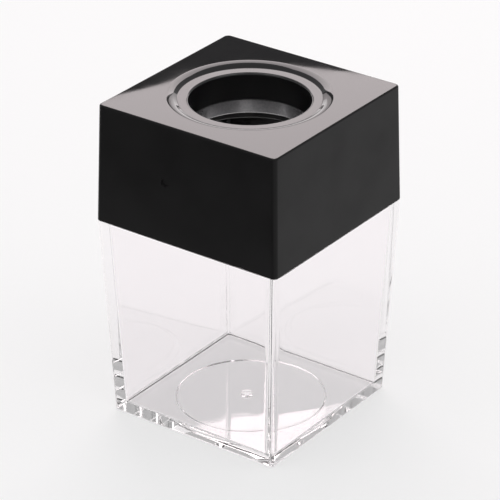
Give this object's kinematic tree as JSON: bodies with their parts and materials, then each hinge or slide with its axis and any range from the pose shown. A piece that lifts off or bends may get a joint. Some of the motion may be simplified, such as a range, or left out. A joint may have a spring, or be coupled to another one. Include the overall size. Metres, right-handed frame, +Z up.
{
  "type": "magnetic paper clip holder",
  "caption": "Square clear plastic box with a black lift-off lid whose round mouth is ringed by a magnet, for holding and handing out paper clips on a desk.",
  "frame": {"origin": "middle of the holder's square outline, on the plane of its foot", "axes": "+Z up through the middle of the mouth, -Y towards the front face, +X to the right"},
  "size_m": [0.0426, 0.0426, 0.067],
  "materials": {
    "clear_plastic": "polished",
    "black_plastic": "gloss",
    "ferrite": "matte",
    "retainer_plastic": "satin"
  },
  "bodies": {
    "base": {"clear_base": "clear_plastic"},
    "lid": {"lid_cap": "black_plastic", "ring_magnet": "ferrite", "magnet_retainer": "retainer_plastic"}
  },
  "joints": [
    {"name": "lid_lift", "type": "slide", "parent": "base", "child": "lid", "axis": [0, 0, 1], "range_m": [0, 0.03]}
  ]
}
